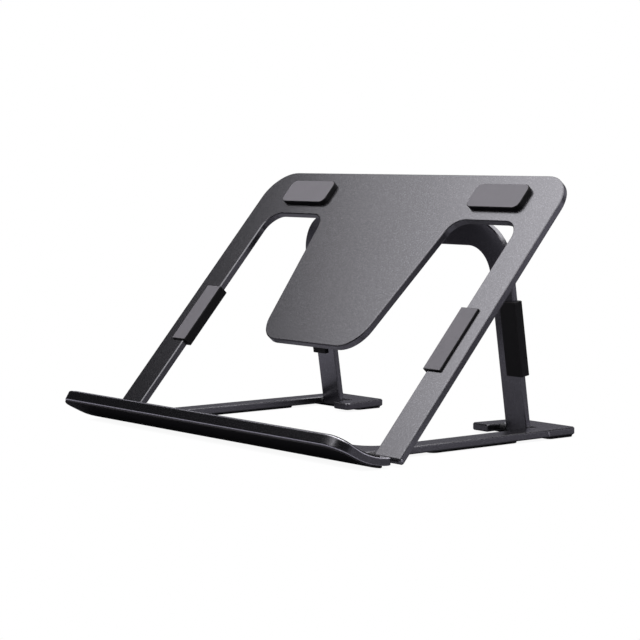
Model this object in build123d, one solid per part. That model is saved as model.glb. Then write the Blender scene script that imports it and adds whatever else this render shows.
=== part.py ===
"""Folding laptop stand in aluminium plate, standing open.

Three flat plates nest in one plane when the stand is folded: the tray's two arms
lie outside the base, and the arch's two legs lie inside the base's side bars. Both
hinge axes run along X through that plane, half way up the base plate.
X runs across the stand, -Y points to the user and +Z up. The origin is the middle
of the stand's rectangle on the desk. Sizes are in millimetres and degrees.
"""
from build123d import *
import os
from math import atan2, cos, degrees, hypot, radians, sin, sqrt, tan

# ---------------------------------------------------------------- driving dimensions
# Plates and the plane that they fold into
tray_half = 125.0        # half of the tray's width
tray_t = 4.0             # tray plate's thickness
base_t = 4.0             # base plate's thickness
arch_t = 3.5             # arch plate's thickness
foot_t = 1.25            # rubber under the base
bevel = 0.5              # bevel along every edge of the tray and the lip
base_bevel = 0.6         # bevel along the base's edges
arch_bevel = 0.4         # bevel along the arch's edges

# Side view, from the front hinge axis
pivot_span = 123.3       # from the front hinge axis to the arch's axis
bar_tail = 20.7          # base behind the arch's axis
root_gap = 6.0           # from the front hinge axis forward to the lip's root
tray_angle = 48.6        # slope of the open tray
rest_reach = 5.2         # lower edge of the tray's top bar to the place where the arch bears
rest_gap = 0.3           # from the arch's top edge to the pad that it bears on

# Tray
tray_len = 180.2         # hinge axis to the top edge
arm_w = 19.25            # width of each arm
crossbar_h = 31.6        # height of the bar across the tray's top
window_w = 50.55         # window between an arm and the tongue, at the bar
tongue_taper = 14.35     # taper of each side of the tongue, from the bar to its tip
tongue_tip_s = 59.8      # tongue's tip, from the hinge axis
tray_corner_r = 19.5
window_corner_r = 11.0
tongue_root_r = 11.0
tongue_tip_r = 17.0

# Base
arm_gap = 3.75           # from the tray's arm to the base's side bar
bar_w = 12.65            # width of each side bar
cross_w = 14.4           # width of the bar across the base's front
cross_corner_r = 12.0
slot_w = 23.65           # slot beside each side bar that takes the arch's leg
finger_w = 12.9          # finger on the slot's other side, at its front
finger_taper = 3.8       # taper of the finger's inner side, from its front to the base's rear
finger_len = 10.8        # finger in front of the arch's axis
slot_tail = 3.9          # slot behind the arch's axis
foot_corner_r = 3.0
finger_corner_r = 2.4
finger_tip_r = 0.8
slot_corner_r = 1.6

# Arch
leg_w = 15.9             # width of each leg
leg_side_gap = 2.75      # from the leg's outer side to the side bar
arch_bar_h = 14.5        # height of the bar across the arch's top
arch_corner_r = 25.3
arch_window_r = 14.5

# Lip that holds the laptop's front edge
lip_inset = 1.8          # end of the lip inside the tray's side
lip_rise = 13.4          # lip's inner top edge above the base plate
lip_slope = 32.6         # slope of the lip's inner side at its front
lip_bend_r = 38.2        # radius of the bend, inside
lip_edge_t = 5.95        # lip's thickness at its front edge
lip_growth = 5.6         # angle by which the lip thickens towards its front edge
lip_corner_r = 10.5
lap_inset = 22.0         # end of the tongue under the base, from the base's side
lap_w = 9.0              # tongue's reach under the base
lap_t = 1.7              # tongue's thickness
lap_gap = 0.1            # play round the tongue
screw_count = 4
screw_inset = 10.0       # end of the tongue to the first screw
screw_d = 2.0
screw_head_d = 3.8
screw_head_h = 1.1
screw_bite = 1.5         # thread that the screw has in the base
screw_gap = 0.1          # play round the screw in the tongue
socket_d = 1.3           # hexagonal socket in the screw's head, across its corners
socket_h = 0.8

# Hinge pins, spacers and washers
pin_d = 2.0
press_gap = 0.01         # radial gap where a pin is pressed in, or a screw is tight
pin_run = 0.05           # radial gap where a plate turns on it
pin_bite = 11.0          # front pin's depth in the side bar
pin_finger_bite = 10.0   # arch pin's depth in the finger
pin_bevel = 0.25
washer_d = 3.6
washer_play = 0.1        # end play on each side of a spacer or washer

# Rubber on the tray
bar_pad_w = 39.7
bar_pad_h = 16.2
bar_pad_t = 2.6
bar_pad_side = 25.0      # tray's side to the pad
bar_pad_drop = 8.2       # top edge of the tray to the pad
bar_pad_corner_r = 4.0
pad_bevel = 0.35         # bevel along a pad's free edges
clip_len = 39.6
clip_s = 51.8            # clip's lower end, from the hinge axis
clip_cover = 10.35       # clip's reach over the arm
clip_web = 2.35          # clip's thickness beside the arm
clip_top = 1.2
clip_bottom = 1.0
rest_pad_over = 0.8      # reach past the tongue's root on each side
rest_pad_corner_r = 2.0
rest_pad_w = 10.0
rest_pad_t = 1.25
rest_pad_inset = 1.5     # lower edge of the tray's top bar to the pad

# Rubber on the arch's legs
sleeve_len = 40.7
sleeve_s = 30.1          # sleeve's lower end, from the arch's axis
sleeve_cover = 9.6
sleeve_web = 2.1
sleeve_front = 1.45
sleeve_back = 1.0

# Rubber on the lip and under the base
lip_pad_t = 0.9
lip_pad_edge = 2.0       # lip's edges to the inner pad
lip_under_t = 1.15
lip_under_edge = 0.5     # lip's edges to the pad under it
lip_pad_tail = 5.0       # lip's root to the rear ends of both pads
bar_foot_w = 8.6
bar_foot_len = 61.5
bar_foot_start = 42.0    # front hinge axis to the foot pad
bar_foot_r = 4.0
rear_foot_len = 18.6
rear_foot_inset = 1.0    # edge of the base to the rear foot pad
rear_foot_r = 2.5

# ---------------------------------------------------------------- worked-out places
deck_z = foot_t + base_t / 2                 # height of both hinge axes
base_top = foot_t + base_t
lip_len = lip_rise / tan(radians(lip_slope)) + lip_bend_r * tan(radians(lip_slope / 2))
lip_reach = root_gap + lip_len + lip_edge_t * sin(radians(lip_slope))
front_y = -(lip_reach + pivot_span + bar_tail) / 2
hinge_y = front_y + lip_reach                # front hinge axis
arch_y = hinge_y + pivot_span                # arch's axis
rear_y = arch_y + bar_tail
root_y = hinge_y - root_gap                  # lip's rear end, base plate's front end
cross_y = root_y + cross_w
arm_in = tray_half - arm_w
base_half = arm_in - arm_gap
bar_in = base_half - bar_w                   # side bar's inner side
finger_out = bar_in - slot_w
finger_in = finger_out - finger_w            # finger's inner side at its front
foot_in = finger_in + finger_taper           # and at the base's rear
finger_y = arch_y - finger_len
leg_out = bar_in - leg_side_gap              # leg's outer side
leg_in = leg_out - leg_w
window_s = tray_len - crossbar_h             # lower edge of the tray's top bar
tongue_root_half = arm_in - window_w
tongue_tip_half = tongue_root_half - tongue_taper
lip_half = tray_half - lip_inset
lap_half = base_half - lap_inset
pin_r = pin_d / 2

# The open arch's front top edge bears on the pad under the tray's top bar. (rest_y, rest_z) is
# that edge, from the arch's axis, and it sets the arch's length and lean.
rest_s = window_s + rest_reach
rest_n = tray_t / 2 + rest_pad_t + rest_gap
rest_y = rest_s * cos(radians(tray_angle)) + rest_n * sin(radians(tray_angle)) - pivot_span
rest_z = rest_s * sin(radians(tray_angle)) - rest_n * cos(radians(tray_angle))
arch_len = sqrt(hypot(rest_y, rest_z) ** 2 - (arch_t / 2) ** 2)
arch_lean = degrees(atan2(-rest_y, rest_z) - atan2(arch_t / 2, arch_len))

tray_place = Pos(0, hinge_y, deck_z) * Rot(tray_angle, 0, 0)
arch_place = Pos(0, arch_y, deck_z) * Rot(90 + arch_lean, 0, 0)
sides = {"left": -1, "right": 1}


# ---------------------------------------------------------------- helpers
def block(x0, x1, y0, y1):
    """Rectangle between two corners."""
    return Pos((x0 + x1) / 2, (y0 + y1) / 2) * Rectangle(x1 - x0, y1 - y0)


def both(shape):
    """A shape on the right with its mirror image on the left."""
    return shape + mirror(shape, Plane.YZ)


def round_corners(sketch, radius, x, y):
    """Round the sketch's corners at (x, y) and (-x, y)."""
    found = [v for v in sketch.vertices() if abs(abs(v.X) - x) < 1e-4 and abs(v.Y - y) < 1e-4]
    return fillet(found, radius)


def along_x(radius, x0, x1, y=0, z=0):
    """Cylinder with its axis along X."""
    return Pos((x0 + x1) / 2, y, z) * Rot(0, 90, 0) * Cylinder(radius, x1 - x0)


def rim(faces):
    """Edges round a patch of faces, without those between two of its faces."""
    edges = [e for face in faces for e in face.edges()]
    return [e for e in edges if sum(e.is_same(other) for other in edges) == 1]


def hinged_plate(sketch, thickness, inner, outer, size):
    """Plate with a full-round hinge end on each arm, which turns about y = 0."""
    plate = extrude(sketch, thickness / 2, both=True)
    plate += both(along_x(thickness / 2, inner, outer))
    skin = [f for f in plate.faces() if f.center().Y < 0 or abs(abs(f.center().Z) - thickness / 2) < 1e-4]
    plate = chamfer(rim(skin), size)
    hole = along_x(pin_r + pin_run, inner - 1, outer + 1)
    return plate - both(hole)


def channel(edge, cover, web, thickness, front, back, length):
    """Rubber channel that grips a plate's edge, for the edge at x = edge that faces +X."""
    outside = block(edge - cover, edge + web, -thickness / 2 - back, thickness / 2 + front)
    inside = block(edge - cover - 1, edge, -thickness / 2, thickness / 2)
    body = extrude(outside - inside, length)
    free = [e for e in body.edges() if not on_plate(e, edge, thickness)]
    body = chamfer(free, min(pad_bevel, back * 0.45, front * 0.45))
    return Rot(90, 0, 0) * Pos(0, 0, -length) * body


def on_plate(edge, x, thickness):
    """Whether an edge of a channel lies where the channel touches its plate."""
    middle = edge.center()
    return middle.X < x + 1e-4 and abs(middle.Y) < thickness / 2 + 1e-4


def pad(width, length, thickness, radius):
    """Flat rubber pad on z = 0 with round corners and a bevel round its upper face."""
    body = extrude(RectangleRounded(width, length, radius), thickness)
    return chamfer(body.faces().sort_by(Axis.Z)[-1].edges(), min(pad_bevel, thickness * 0.45))


def foot(width, length, radius):
    """Foot pad that reaches from the base plate down to the desk."""
    return Pos(0, 0, foot_t) * Rot(180, 0, 0) * pad(width, length, foot_t, radius)


def handed(shape, side):
    """The right-hand shape, or its mirror image on the left."""
    return shape if side > 0 else mirror(shape, Plane.YZ)


# ---------------------------------------------------------------- tray
def tray_plate():
    """Plate with two arms, a bar across its top and a tongue that hangs from it."""
    outline = block(-tray_half, tray_half, 0, tray_len)
    outline -= block(-arm_in, arm_in, -1, window_s)
    outline += Polygon((-tongue_tip_half, tongue_tip_s), (tongue_tip_half, tongue_tip_s),
                       (tongue_root_half, window_s), (-tongue_root_half, window_s), align=None)
    outline = round_corners(outline, tray_corner_r, tray_half, tray_len)
    outline = round_corners(outline, window_corner_r, arm_in, window_s)
    outline = round_corners(outline, tongue_root_r, tongue_root_half, window_s)
    outline = round_corners(outline, tongue_tip_r, tongue_tip_half, tongue_tip_s)
    return hinged_plate(outline, tray_t, arm_in, tray_half, bevel)


def crossbar_pad():
    """Pad on the tray's top bar that the laptop lies on."""
    body = pad(bar_pad_w, bar_pad_h, bar_pad_t, bar_pad_corner_r)
    return Pos(tray_half - bar_pad_side - bar_pad_w / 2, tray_len - bar_pad_drop - bar_pad_h / 2, tray_t / 2) * body


def arm_clip():
    """Channel on the arm's inner edge that the laptop lies on."""
    body = channel(-arm_in, clip_cover, clip_web, tray_t, clip_top, clip_bottom, clip_len)
    return Pos(0, clip_s, 0) * mirror(body, Plane.YZ)


def rest_pad():
    """Strip under the tray's top bar, where the arch's top edge bears."""
    body = pad(2 * (tongue_root_half + rest_pad_over), rest_pad_w, rest_pad_t, rest_pad_corner_r)
    return Pos(0, window_s + rest_pad_inset + rest_pad_w / 2, -tray_t / 2) * Rot(180, 0, 0) * body


# ---------------------------------------------------------------- arch
def arch_plate():
    """Plate with two legs and a bar across their top."""
    outline = block(-leg_out, leg_out, 0, arch_len)
    outline -= block(-leg_in, leg_in, -1, arch_len - arch_bar_h)
    outline = round_corners(outline, arch_corner_r, leg_out, arch_len)
    outline = round_corners(outline, arch_window_r, leg_in, arch_len - arch_bar_h)
    return hinged_plate(outline, arch_t, leg_in, leg_out, arch_bevel)


def leg_sleeve():
    """Channel on the leg's outer edge."""
    body = channel(leg_out, sleeve_cover, sleeve_web, arch_t, sleeve_front, sleeve_back, sleeve_len)
    return Pos(0, sleeve_s, 0) * body


# ---------------------------------------------------------------- base
def base_outline():
    """Two side bars, a bar across the front, and a forked foot behind each side bar."""
    outline = block(-base_half, base_half, root_y, cross_y)
    outline += both(block(bar_in, base_half, root_y, rear_y))
    outline += both(Polygon((finger_in, finger_y), (base_half, finger_y), (base_half, rear_y),
                            (foot_in, rear_y), align=None))
    outline -= both(block(finger_out, bar_in, finger_y - 1, arch_y + slot_tail))
    outline = round_corners(outline, cross_corner_r, bar_in, cross_y)
    outline = round_corners(outline, foot_corner_r, base_half, rear_y)
    outline = round_corners(outline, foot_corner_r, foot_in, rear_y)
    outline = round_corners(outline, finger_corner_r, finger_in, finger_y)
    outline = round_corners(outline, finger_tip_r, finger_out, finger_y)
    outline = round_corners(outline, slot_corner_r, finger_out, arch_y + slot_tail)
    return round_corners(outline, slot_corner_r, bar_in, arch_y + slot_tail)


def screw_places():
    """Middle of each screw, in plan."""
    first = -lap_half + screw_inset
    pitch = -2 * first / (screw_count - 1)
    return [(first + pitch * i, root_y + lap_w / 2) for i in range(screw_count)]


def base_plate():
    """Base plate with the lap for the lip's tongue and the holes for both pairs of pins."""
    plate = Pos(0, 0, foot_t) * extrude(base_outline(), base_t)
    plate = chamfer(rim(plate.faces().filter_by(Axis.Z)), base_bevel)
    lap = block(-lap_half - lap_gap, lap_half + lap_gap, root_y - 1, root_y + lap_w + lap_gap)
    plate -= Pos(0, 0, foot_t - 1) * extrude(lap, lap_t + 1)
    plate -= both(along_x(pin_r + press_gap, base_half - pin_bite, base_half + 1, hinge_y, deck_z))
    plate -= both(along_x(pin_r + press_gap, finger_out - pin_finger_bite, base_half + 1, arch_y, deck_z))
    for x, y in screw_places():
        plate -= Pos(x, y, foot_t + lap_t) * Cylinder(screw_d / 2 + press_gap, 2 * screw_bite)
    return plate


# ---------------------------------------------------------------- lip
def lip_path(y, z, slope, level):
    """Points (y, z) along one side of the lip: its front edge, and the ends of the bend behind it.

    The side falls straight back from its front edge, and then bends to run level at the root.
    """
    corner = y + (z - level) / tan(radians(slope))
    straight = (z - level) / sin(radians(slope)) - (root_y - corner)
    return [(y, z), step(y, z, slope, straight), (root_y, level)]


def step(y, z, slope, distance):
    """The point that lies a distance down the slope from (y, z)."""
    return y + distance * cos(radians(slope)), z - distance * sin(radians(slope))


def raised(point, slope, height):
    """The point at a height square to the slope above another point."""
    return point[0] + height * sin(radians(slope)), point[1] + height * cos(radians(slope))


def lip_line(path, slope):
    """The straight run and the bend through a path's three points."""
    down = (cos(radians(slope)), -sin(radians(slope)))
    return Line(path[0], path[1]) + TangentArc(path[1], path[2], tangent=down)


def lip_solid(upper, upper_slope, lower, lower_slope, half):
    """Solid between two paths, as long as the stand is wide."""
    ends = Line(upper[0], lower[0]) + Line(upper[2], lower[2])
    section = make_face(lip_line(upper, upper_slope) + lip_line(lower, lower_slope) + ends)
    return extrude(Plane.YZ * section, half, both=True)


upper_edge = (front_y + lip_edge_t * sin(radians(lip_slope)), base_top + lip_rise)
lower_edge = raised(upper_edge, lip_slope, -lip_edge_t)
lower_slope = lip_slope - lip_growth
upper_path = lip_path(*upper_edge, lip_slope, base_top)
lower_path = lip_path(*lower_edge, lower_slope, foot_t)


def round_ends(body, half, radius):
    """Round the two front corners of the lip or of a pad on it."""
    front = body.faces().sort_by(Axis.Y)[0]
    return fillet([e for e in front.edges() if abs(abs(e.center().X) - half) < 1e-4], radius)


def front_lip():
    """Curled lip with a tongue that laps under the base plate."""
    body = lip_solid(upper_path, lip_slope, lower_path, lower_slope, lip_half)
    body = round_ends(body, lip_half, lip_corner_r)
    body = chamfer(rim([f for f in body.faces() if abs(f.normal_at().Z) > 0.7]), bevel)
    tongue = block(-lap_half, lap_half, root_y, root_y + lap_w)
    body += Pos(0, 0, foot_t) * extrude(tongue, lap_t)
    for x, y in screw_places():
        body -= Pos(x, y, foot_t) * screw_shape(screw_gap)
    return body


def screw_shape(gap):
    """Countersunk screw that points up from z = 0, or the room for one."""
    shank = Cylinder(screw_d / 2 + gap, lap_t + screw_bite, align=(Align.CENTER, Align.CENTER, Align.MIN))
    head = Cone(screw_head_d / 2 + gap, screw_d / 2 + gap, screw_head_h,
                align=(Align.CENTER, Align.CENTER, Align.MIN))
    return shank + head


def lip_screws():
    """Countersunk screws through the lip's tongue into the base plate."""
    socket = extrude(RegularPolygon(socket_d / 2, 6), socket_h)
    return [Pos(x, y, foot_t) * (screw_shape(0) - socket) for x, y in screw_places()]


def lip_pad(path, slope, thickness, inset):
    """Pad on one side of the lip, above it for a positive thickness and below it for a negative one."""
    start = step(*path[0], slope, inset)
    inner = [start, path[1], path[2]]
    outer = [raised(start, slope, thickness), raised(path[1], slope, thickness),
             (path[2][0], path[2][1] + thickness)]
    body = lip_solid(inner, slope, outer, slope, lip_half - inset)
    body = round_ends(body, lip_half - inset, lip_corner_r - inset)
    trim = block(-lip_half, lip_half, root_y - lip_pad_tail, root_y + 1)
    body -= Pos(0, 0, -1) * extrude(trim, base_top + lip_rise)
    skin = [f for f in body.faces() if f.normal_at().Z * thickness > 0.7 * abs(thickness)]
    return chamfer(rim(skin), abs(thickness) * 0.4)


# ---------------------------------------------------------------- rubber under the base
def bar_foot():
    """Long foot pad under the side bar."""
    body = foot(bar_foot_w, bar_foot_len, bar_foot_r)
    return Pos(base_half - bar_w / 2, hinge_y + bar_foot_start + bar_foot_len / 2) * body


def rear_foot():
    """Wide foot pad under the rear of the foot."""
    width = base_half - foot_in - 2 * rear_foot_inset
    body = foot(width, rear_foot_len, rear_foot_r)
    return Pos((base_half + foot_in) / 2, rear_y - rear_foot_inset - rear_foot_len / 2) * body


# ---------------------------------------------------------------- hinges
def pin(x0, x1, y):
    """Hinge pin between two places along X."""
    body = along_x(pin_r, x0, x1, y, deck_z)
    return chamfer(body.edges().filter_by(GeomType.CIRCLE), pin_bevel)


def washer(x0, x1, y):
    """Ring on a hinge pin that fills the gap between two plates, less its end play."""
    x0, x1 = x0 + washer_play, x1 - washer_play
    return along_x(washer_d / 2, x0, x1, y, deck_z) - along_x(pin_r + pin_run, x0 - 1, x1 + 1, y, deck_z)


def front_pin():
    """Pin pressed into the base, on which the tray's arm turns."""
    return pin(base_half - pin_bite, tray_half, hinge_y)


def arch_pin():
    """Pin pressed into the side bar and the finger, on which the arch's leg turns."""
    return pin(finger_out - pin_finger_bite, base_half, arch_y)


def front_spacer():
    """Spacer between the base and the tray's arm."""
    return washer(base_half, arm_in, hinge_y)


def leg_washers():
    """Friction washers on both sides of the arch's leg."""
    return [washer(finger_out, leg_in, arch_y), washer(leg_out, bar_in, arch_y)]


# ---------------------------------------------------------------- assembly
pieces = {
    "tray_plate": tray_place * tray_plate(),
    "arch_plate": arch_place * arch_plate(),
    "tray_rest_pad": tray_place * rest_pad(),
    "base_plate": base_plate(),
    "front_lip": front_lip(),
    "lip_screws": lip_screws(),
    "lip_inner_pad": lip_pad(upper_path, lip_slope, lip_pad_t, lip_pad_edge),
    "lip_under_pad": lip_pad(lower_path, lower_slope, -lip_under_t, lip_under_edge),
}
paired = {
    "crossbar_pad": tray_place * crossbar_pad(),
    "arm_clip": tray_place * arm_clip(),
    "leg_sleeve": arch_place * leg_sleeve(),
    "bar_foot_pad": bar_foot(),
    "rear_foot_pad": rear_foot(),
    "front_hinge_pin": front_pin(),
    "front_spacer": front_spacer(),
    "arch_hinge_pin": arch_pin(),
    "leg_washers": leg_washers(),
}
for name, shape in paired.items():
    for side, sign in sides.items():
        solids = shape if isinstance(shape, list) else [shape]
        pieces[name + "_" + side] = [handed(solid, sign) for solid in solids]

os.makedirs("parts", exist_ok=True)
for name, shape in pieces.items():
    solids = shape if isinstance(shape, list) else [shape]
    export_step(Compound(children=[solid for item in solids for solid in item.solids()]), f"parts/{name}.step")
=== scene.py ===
"""Looks of the folding laptop stand: materials, floor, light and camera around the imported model."""
import math

import bpy
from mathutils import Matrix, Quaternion, Vector

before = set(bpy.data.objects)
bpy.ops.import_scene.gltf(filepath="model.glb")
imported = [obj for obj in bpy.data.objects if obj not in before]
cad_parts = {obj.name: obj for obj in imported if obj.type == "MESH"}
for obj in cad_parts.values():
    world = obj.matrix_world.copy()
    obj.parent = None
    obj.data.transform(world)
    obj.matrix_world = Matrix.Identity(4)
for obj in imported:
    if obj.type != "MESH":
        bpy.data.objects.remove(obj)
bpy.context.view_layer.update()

# ---------------------------------------------------------------- the open stand, in metres
MM = 0.001
TRAY_SLOPE = math.radians(48.6)      # slope of the open tray
ARCH_LEAN = math.radians(8.63)       # the open arch leans forward by this much
LIP_SLOPE = math.radians(32.6)       # slope of the lip's inner side

UP = (0, 0, 1)
TRAY_NORMAL = (0, -math.sin(TRAY_SLOPE), math.cos(TRAY_SLOPE))
ARCH_NORMAL = (0, -math.cos(ARCH_LEAN), -math.sin(ARCH_LEAN))
LIP_NORMAL = (0, math.sin(LIP_SLOPE), math.cos(LIP_SLOPE))

# ---------------------------------------------------------------- tints
WHITE = (1, 1, 1, 1)
NEUTRAL = (1.0, 1.0, 1.0)
METAL_TINT = (1.0, 0.98, 1.06)
RUBBER_TINT = (1.0, 0.955, 1.055)
COOL = (0.98, 0.96, 1.09)            # tint of the light from low round the object


def grey(value, tint=METAL_TINT):
    return (value * tint[0], value * tint[1], value * tint[2], 1.0)


# ---------------------------------------------------------------- node helpers
NOISE_LOW, NOISE_HIGH = 0.3, 0.7     # most of a noise's values lie between these


class Tree:
    """A node tree, with short calls to add nodes and link them."""

    def __init__(self, tree, output):
        self.nodes, self.links = tree.nodes, tree.links
        self.nodes.clear()
        self.output = self.nodes.new(output)

    def add(self, kind, inputs=None, **settings):
        node = self.nodes.new(kind)
        for key, value in settings.items():
            setattr(node, key, value)
        for key, value in (inputs or {}).items():
            self.put(node.inputs[key], value)
        return node

    def put(self, socket, value):
        """Set a socket to a plain value, or link it to another node's output."""
        if isinstance(value, bpy.types.NodeSocket):
            self.links.new(value, socket)
        else:
            socket.default_value = value

    def surface(self, shader):
        self.links.new(shader.outputs[0], self.output.inputs["Surface"])

    def principled(self, inputs):
        self.surface(self.add("ShaderNodeBsdfPrincipled", inputs))

    def times(self, a, b):
        return self.add("ShaderNodeMath", {0: a, 1: b}, operation="MULTIPLY").outputs[0]

    def larger(self, a, b):
        return self.add("ShaderNodeMath", {0: a, 1: b}, operation="MAXIMUM").outputs[0]

    def mix(self, factor, a, b):
        """Colour a where the factor is 0, and colour b where it is 1."""
        node = self.add("ShaderNodeMix", data_type="RGBA")
        for key, value in {0: factor, 6: a, 7: b}.items():
            self.put(node.inputs[key], value)
        return node.outputs[2]

    def scaled(self, colour, factor):
        """A colour times a number."""
        node = self.add("ShaderNodeVectorMath", operation="MULTIPLY")
        self.put(node.inputs[0], colour if isinstance(colour, bpy.types.NodeSocket) else colour[:3])
        self.put(node.inputs[1], factor)
        return node.outputs[0]

    def noise(self, scale, detail=2.0, roughness=0.5):
        """Noise fixed to the piece, with about this many lumps in a metre."""
        place = self.add("ShaderNodeTexCoord").outputs["Object"]
        inputs = {"Vector": place, "Scale": scale, "Detail": detail, "Roughness": roughness}
        return self.add("ShaderNodeTexNoise", inputs).outputs["Fac"]

    def ramp(self, value, low, high, to_low=0.0, to_high=1.0):
        """Straight run from to_low at low to to_high at high, and level beyond both."""
        inputs = {"Value": value, "From Min": low, "From Max": high, "To Min": to_low, "To Max": to_high}
        return self.add("ShaderNodeMapRange", inputs, clamp=True).outputs["Result"]

    def band(self, value, start, full_from, full_to, end):
        """1 between full_from and full_to, fading to 0 at start and at end."""
        return self.times(self.ramp(value, start, full_from), self.ramp(value, full_to, end, 1.0, 0.0))

    def follow(self, noise, to_low, to_high):
        """A value that follows a noise between two limits."""
        return self.ramp(noise, NOISE_LOW, NOISE_HIGH, to_low, to_high)

    def varied(self, noise, amount):
        """A factor round 1 that follows a noise."""
        return self.follow(noise, 1 - amount, 1 + amount)

    def facing(self, direction):
        """How far the piece's own normal points along a direction of the part's frame."""
        normal = self.add("ShaderNodeTexCoord").outputs["Normal"]
        node = self.add("ShaderNodeVectorMath", {0: normal, 1: direction}, operation="DOT_PRODUCT")
        return node.outputs["Value"]

    def bump(self, height, strength, depth, on_normal=None):
        node = self.add("ShaderNodeBump", {"Strength": strength, "Distance": depth, "Height": height})
        if on_normal is not None:
            self.put(node.inputs["Normal"], on_normal)
        return node.outputs[0]


def material_tree(name):
    material = bpy.data.materials.new(name)
    material.use_nodes = True
    return material, Tree(material.node_tree, "ShaderNodeOutputMaterial")


# ---------------------------------------------------------------- materials
# Lumps in a metre of each surface's texture
METAL_GRAIN = 1700
METAL_CLOUD = 14
FINE_GRAIN = 3200
RUBBER_CLOUD = 90
NYLON_GRAIN = 900
STEEL_GRAIN = 1800

METAL_ROUGHNESS = 0.25
METAL_SPECKS = (0.50, 0.75)          # grain noise at which the light specks start and are full
METAL_TONES = (0.93, 1.41)           # brightness of the metal between the specks and on them
BEVEL_FACING = (0.45, 0.62, 0.86, 0.93)  # a bevel's share of its plate's normal: starts, full, full, ends
RUBBER_LIT_TOP = (0.70, 0.98)            # share of the tray's normal at which the painted highlight on the top starts and is full
RUBBER_ROUGHNESS = (0.56, 0.62)
STEEL_ROUGHNESS = (0.28, 0.42)


def anodised(name, plate_normal, value, bevel_light_value, edge_round=0.5 * MM):
    """Space-grey anodised plate: fine blasted grain with light specks, and machined bevels with a painted
    light tone of their own.
    """
    material, t = material_tree(name)
    grain = t.noise(METAL_GRAIN, detail=1.0)
    fine = t.noise(FINE_GRAIN, roughness=0.6)
    cloud = t.noise(METAL_CLOUD)
    along = t.add("ShaderNodeMath", {0: t.facing(plate_normal)}, operation="ABSOLUTE").outputs[0]
    # A bevel's normal lies half way between the plate's face and its side.
    bevel = t.band(along, *BEVEL_FACING)
    tone = t.times(t.ramp(grain, *METAL_SPECKS, *METAL_TONES), t.varied(cloud, 0.02))
    edge = t.add("ShaderNodeBevel", {"Radius": edge_round}, samples=6).outputs[0]
    # Painted light on the bevels: their colour is lighter than the face for a painted highlight and darker
    # for painted shade, set per plate.
    t.principled({
        "Base Color": t.scaled(t.mix(bevel, grey(value), grey(bevel_light_value)), tone),
        "Metallic": 1.0,
        "Roughness": t.times(t.varied(grain, 0.03), METAL_ROUGHNESS),
        "Normal": t.bump(fine, strength=0.1, depth=0.05 * MM, on_normal=edge)})
    return material


def silicone(name, side_value, lit_top_value=None, gloss=0.2):
    """Moulded silicone: matte and near black, with a painted highlight: greyer on the top that faces along
    the tray's normal.
    """
    material, t = material_tree(name)
    fine = t.noise(FINE_GRAIN)
    cloud = t.noise(RUBBER_CLOUD, detail=3.0)
    colour = grey(side_value, RUBBER_TINT)
    if lit_top_value:
        # Painted highlight: the top that faces along the tray's normal gets the lighter grey, as if lit.
        lit_top = t.ramp(t.facing(TRAY_NORMAL), *RUBBER_LIT_TOP)
        colour = t.mix(lit_top, colour, grey(lit_top_value, RUBBER_TINT))
    tone = t.times(t.varied(fine, 0.02), t.varied(cloud, 0.03))
    t.principled({
        "Base Color": t.scaled(colour, tone),
        "Roughness": t.follow(cloud, *RUBBER_ROUGHNESS),
        "Specular IOR Level": gloss,
        "Normal": t.bump(fine, strength=0.15, depth=0.04 * MM)})
    return material


def plastic(name, value):
    """Smooth turned plastic."""
    material, t = material_tree(name)
    t.principled({
        "Base Color": t.scaled(grey(value), t.varied(t.noise(NYLON_GRAIN), 0.04)),
        "Roughness": 0.42,
        "Specular IOR Level": 0.4})
    return material


def steel(name, value):
    """Steel with a fine turned grain."""
    material, t = material_tree(name)
    grain = t.noise(STEEL_GRAIN)
    t.principled({
        "Base Color": t.scaled(grey(value), t.varied(grain, 0.15)),
        "Metallic": 1.0,
        "Roughness": t.follow(grain, *STEEL_ROUGHNESS)})
    return material


rubber_with_lit_top = silicone("rubber_with_lit_top", 0.010, lit_top_value=0.208)
black_rubber = silicone("black_rubber", 0.021)
foot_rubber = silicone("foot_rubber", 0.06, gloss=0.012)
nylon = plastic("nylon", 0.05)
pin_steel = steel("pin_steel", 0.45)
screw_steel = steel("screw_steel", 0.14)

# The material of each CAD node, by its name without _left or _right
looks = {
    # Each plate's second value is its painted bevel light: painted shade on the tray, arch and base bevels,
    # a painted highlight on the lip's.
    "tray_plate": anodised("tray_metal", TRAY_NORMAL, 0.20, 0.14),
    "arch_plate": anodised("arch_metal", ARCH_NORMAL, 0.222, 0.21),
    "base_plate": anodised("base_metal", UP, 0.22, 0.19),
    # The lip is a darker copy of the same anodised metal: painted shade on its face.
    "front_lip": anodised("lip_metal_painted_shade", LIP_NORMAL, 0.122, 0.70, edge_round=1.0 * MM),
    "crossbar_pad": rubber_with_lit_top,
    "arm_clip": rubber_with_lit_top,
    "tray_rest_pad": black_rubber,
    "leg_sleeve": black_rubber,
    "lip_inner_pad": black_rubber,
    "lip_under_pad": foot_rubber,
    "bar_foot_pad": foot_rubber,
    "rear_foot_pad": foot_rubber,
    "lip_screws": screw_steel,
    "front_hinge_pin": pin_steel,
    "arch_hinge_pin": pin_steel,
    "front_spacer": nylon,
    "leg_washers": nylon,
}
for node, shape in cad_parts.items():
    piece = node.removesuffix("_left").removesuffix("_right")
    for slot in shape.material_slots:
        slot.material = looks[piece]

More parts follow.
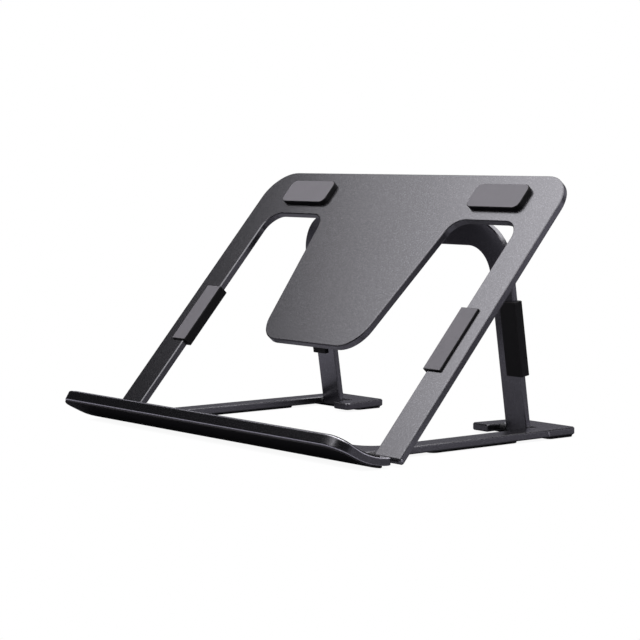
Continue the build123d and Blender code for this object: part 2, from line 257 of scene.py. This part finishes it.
# ---------------------------------------------------------------- floor
FLOOR_HALF = 6.0
FLOOR_GREY = 0.04                    # tone of the floor where it isn't shown white
SHADOW = 0.92                        # the white that is left where the object touches the floor
SHADOW_REACH = 4 * MM
SHADOW_OPEN = (0.1, 0.8)             # openness at which the shadow is full and at which it ends
SHOWN_IN_GLOSS = 0.36                # share of the white floor that gloss picks up, near the object
FAR_SHADE_PART = 0.30                      # painted shade: the part of that share that is left far from the object
FAR_SHADE_DISTANCE = (0.20, 0.55)          # distances from the origin over which it fades
REAR_SHADE_PART = 0.6                      # painted shade: the part that is left behind the object
REAR_SHADE_Y = (0.0, 0.09)                 # places along Y over which it fades
UNDER_SHADOW_PART = 0.15                  # painted shadow: the part that is left under the object
UNDER_SHADOW_REACH = 150 * MM
UNDER_SHADOW_OPEN = (0.50, 0.97)          # openness at which the painted shadow under the object is full and at which it ends


def floor_material():
    """White to the camera, with a share of that white for gloss and glass, and dim to all other light. The
    glow carries a painted shadow where the object touches and under it, and painted shade far from it and
    behind it.
    """
    material, t = material_tree("floor")
    ray = t.add("ShaderNodeLightPath").outputs
    contact = t.add("ShaderNodeAmbientOcclusion", {"Distance": SHADOW_REACH}, samples=8).outputs["AO"]
    under_shadow = t.add("ShaderNodeAmbientOcclusion", {"Distance": UNDER_SHADOW_REACH}, samples=4).outputs["AO"]
    place = t.add("ShaderNodeTexCoord").outputs["Object"]
    distance = t.add("ShaderNodeVectorMath", {0: place}, operation="LENGTH").outputs["Value"]
    along_y = t.add("ShaderNodeSeparateXYZ", {0: place}).outputs["Y"]
    # Painted shade on the white that gloss picks up: it fades far from the object, behind it, and under it.
    shown = t.ramp(distance, *FAR_SHADE_DISTANCE, SHOWN_IN_GLOSS, SHOWN_IN_GLOSS * FAR_SHADE_PART)
    shown = t.times(shown, t.ramp(along_y, *REAR_SHADE_Y, 1.0, REAR_SHADE_PART))
    shown = t.times(shown, t.ramp(under_shadow, *UNDER_SHADOW_OPEN, UNDER_SHADOW_PART, 1.0))
    gloss = t.larger(ray["Is Glossy Ray"], ray["Is Transmission Ray"])
    white_share = t.larger(ray["Is Camera Ray"], t.times(gloss, shown))
    paper = t.add("ShaderNodeBsdfDiffuse", {"Color": grey(FLOOR_GREY, NEUTRAL)})
    # Painted contact shadow: the glow dims where the object is close above the floor.
    glow = t.add("ShaderNodeEmission", {
        "Color": t.mix(ray["Is Camera Ray"], grey(1, COOL), WHITE),
        "Strength": t.ramp(contact, *SHADOW_OPEN, SHADOW, 1.0)})
    t.surface(t.add("ShaderNodeMixShader", {0: white_share, 1: paper.outputs[0], 2: glow.outputs[0]}))
    return material


corners = [(-FLOOR_HALF, -FLOOR_HALF, 0), (FLOOR_HALF, -FLOOR_HALF, 0),
           (FLOOR_HALF, FLOOR_HALF, 0), (-FLOOR_HALF, FLOOR_HALF, 0)]
mesh = bpy.data.meshes.new("floor")
mesh.from_pydata(corners, [], [(0, 1, 2, 3)])
mesh.materials.append(floor_material())
floor = bpy.data.objects.new("floor", mesh)
bpy.context.scene.collection.objects.link(floor)

# ---------------------------------------------------------------- world
ROOM_DIM, ROOM_BRIGHT = 0.04, 0.70   # strength of the room's light outside its bright band and in it
BAND_Z = (0.20, 0.30, 0.34, 0.50)    # heights of the direction where the band starts, is full, and ends
BAND_Y = (0.1, 0.5)                  # the band comes in behind the object

world = bpy.data.worlds.new("studio")
bpy.context.scene.world = world
world.use_nodes = True
t = Tree(world.node_tree, "ShaderNodeOutputWorld")
direction = t.add("ShaderNodeTexCoord").outputs["Generated"]
toward = t.add("ShaderNodeSeparateXYZ", {0: direction}).outputs
band = t.times(t.band(toward["Z"], *BAND_Z), t.ramp(toward["Y"], *BAND_Y))
room = t.add("ShaderNodeBackground", {
    "Color": grey(1, COOL),
    "Strength": t.ramp(band, 0, 1, ROOM_DIM, ROOM_BRIGHT)})
white = t.add("ShaderNodeBackground", {"Color": WHITE, "Strength": 1.0})
seen = t.add("ShaderNodeLightPath").outputs["Is Camera Ray"]
t.surface(t.add("ShaderNodeMixShader", {0: seen, 1: room.outputs[0], 2: white.outputs[0]}))

# ---------------------------------------------------------------- lamps
SOFTBOX_Y = -0.042
SOFTBOX_DEPTH = 1.303
SOFTBOX_TURN = math.radians(-20.6)   # the softboxes' left edges run forward and to the left


def lamp(name, at, target, width, depth, power, turn=0.0, tint=NEUTRAL):
    """Soft area lamp that faces a point, turned about its own axis, out of the camera's sight."""
    data = bpy.data.lights.new(name, "AREA")
    data.shape = "RECTANGLE"
    data.size = width
    data.size_y = depth
    data.energy = power
    data.color = tint
    obj = bpy.data.objects.new(name, data)
    obj.location = at
    obj.rotation_mode = "QUATERNION"
    aim = (Vector(target) - Vector(at)).to_track_quat("-Z", "Y")
    obj.rotation_quaternion = aim @ Quaternion((0, 0, 1), turn)
    obj.visible_camera = False
    bpy.context.scene.collection.objects.link(obj)


def softbox(name, x, height, width, power):
    """Wide lamp over the object that faces straight down."""
    lamp(name, (x, SOFTBOX_Y, height), (x, SOFTBOX_Y, 0), width, SOFTBOX_DEPTH, power, SOFTBOX_TURN)


# Two boxes of unlike width make the light fade towards the left edge over a broad band.
# At one height each would hide the other from gloss.
softbox("narrow_softbox", x=0.136, height=0.70, width=1.248, power=5.36)
softbox("wide_softbox", x=0.022, height=0.72, width=1.555, power=6.58)
lamp("right_panel", at=(0.80, 0.88, 0.15), target=(0.05, 0, 0.06),
     width=0.5, depth=0.3, power=0.23, tint=COOL)

# ---------------------------------------------------------------- camera
CAMERA_AT = Vector((858.6, -692.3, 151.4)) * MM
CAMERA_AZIMUTH = math.radians(51.197)
CAMERA_ELEVATION = math.radians(4.69)
CAMERA_SENSOR = 36                   # width, in millimetres, as the lens's length is
CAMERA_LENS = 114.4

toward_camera = Vector((math.sin(CAMERA_AZIMUTH) * math.cos(CAMERA_ELEVATION),
                        -math.cos(CAMERA_AZIMUTH) * math.cos(CAMERA_ELEVATION),
                        math.sin(CAMERA_ELEVATION)))
camera_data = bpy.data.cameras.new("camera")
camera_data.sensor_width = CAMERA_SENSOR
camera_data.lens = CAMERA_LENS
camera_data.clip_start = 10 * MM
camera_data.clip_end = 50
camera = bpy.data.objects.new("camera", camera_data)
camera.location = CAMERA_AT
camera.rotation_mode = "QUATERNION"
camera.rotation_quaternion = (-toward_camera).to_track_quat("-Z", "Y")
bpy.context.scene.collection.objects.link(camera)
bpy.context.scene.camera = camera
bpy.context.scene.view_settings.view_transform = "Standard"
